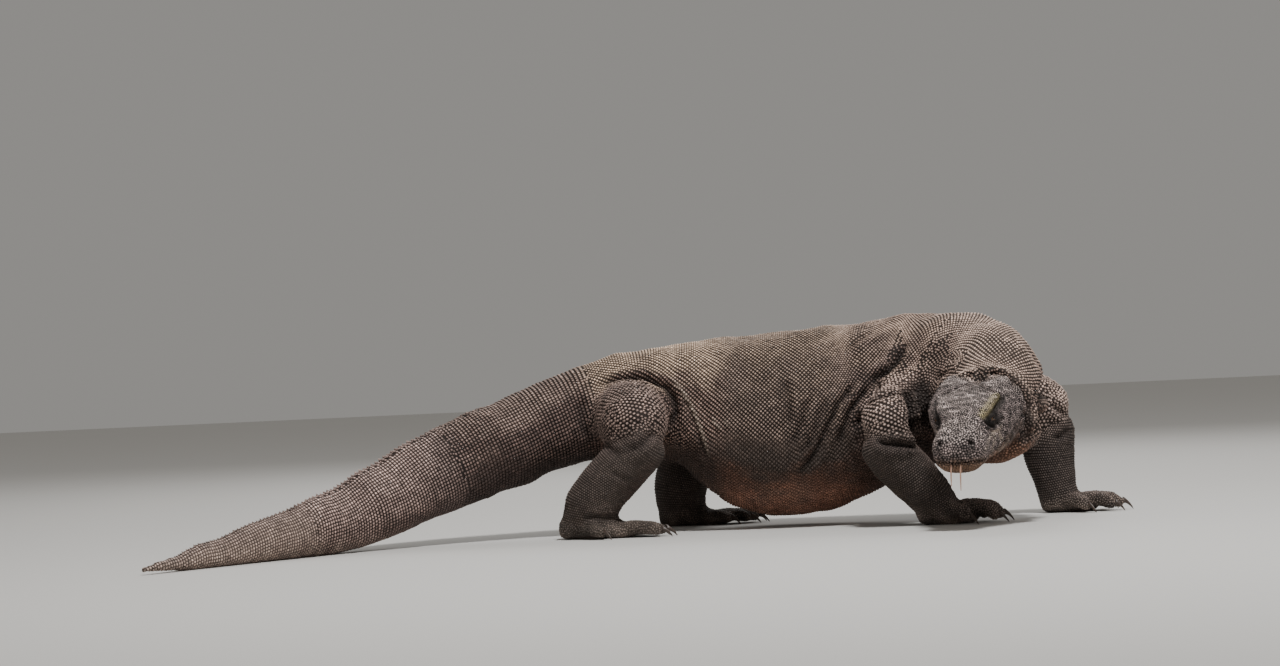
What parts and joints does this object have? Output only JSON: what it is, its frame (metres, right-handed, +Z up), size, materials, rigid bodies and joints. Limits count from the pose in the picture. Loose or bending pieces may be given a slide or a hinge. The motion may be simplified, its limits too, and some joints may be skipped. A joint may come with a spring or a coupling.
{
  "type": "komodo dragon model",
  "caption": "Life-size still model of a large monitor lizard standing on four legs, tail laid out to its right and head turned back over its right shoulder, forked tongue hanging.",
  "frame": {"origin": "middle of the animal's box seen from above, at the level of the floor that it stands on", "axes": "+X along the trunk from the hips to the chest, +Y to the animal's left, +Z up"},
  "size_m": [1.9927, 1.0631, 0.4333],
  "materials": {
    "hide": "dusty bead scales, grey-brown above, darker flanks, reddish-brown belly",
    "head_hide": "fine smooth scales, grey with a yellowish brow, dark eye surround and reddish-brown chin",
    "claw": "dark worn horn",
    "eye": "wet dark brown",
    "tongue": "moist, beige-pink"
  },
  "bodies": {
    "root": {"tail_end": "hide", "tail_middle": "hide", "tail_base": "hide", "pelvis": "hide", "abdomen": "hide", "chest": "hide", "neck": "hide", "head": "head_hide", "lower_jaw": "head_hide", "left_eye": "eye", "right_eye": "eye", "tongue": "tongue", "left_forearm": "hide", "left_hand": "hide", "left_hand_claw_1": "claw", "left_hand_claw_2": "claw", "left_hand_claw_3": "claw", "left_hand_claw_4": "claw", "left_hand_claw_5": "claw", "left_hind_foot": "hide", "left_hind_foot_claw_1": "claw", "left_hind_foot_claw_2": "claw", "left_hind_foot_claw_3": "claw", "left_hind_foot_claw_4": "claw", "left_hind_foot_claw_5": "claw", "left_shin": "hide", "left_thigh": "hide", "left_upper_arm": "hide", "right_forearm": "hide", "right_hand": "hide", "right_hand_claw_1": "claw", "right_hand_claw_2": "claw", "right_hand_claw_3": "claw", "right_hand_claw_4": "claw", "right_hand_claw_5": "claw", "right_hind_foot": "hide", "right_hind_foot_claw_1": "claw", "right_hind_foot_claw_2": "claw", "right_hind_foot_claw_3": "claw", "right_hind_foot_claw_4": "claw", "right_hind_foot_claw_5": "claw", "right_shin": "hide", "right_thigh": "hide", "right_upper_arm": "hide"}
  },
  "joints": []
}
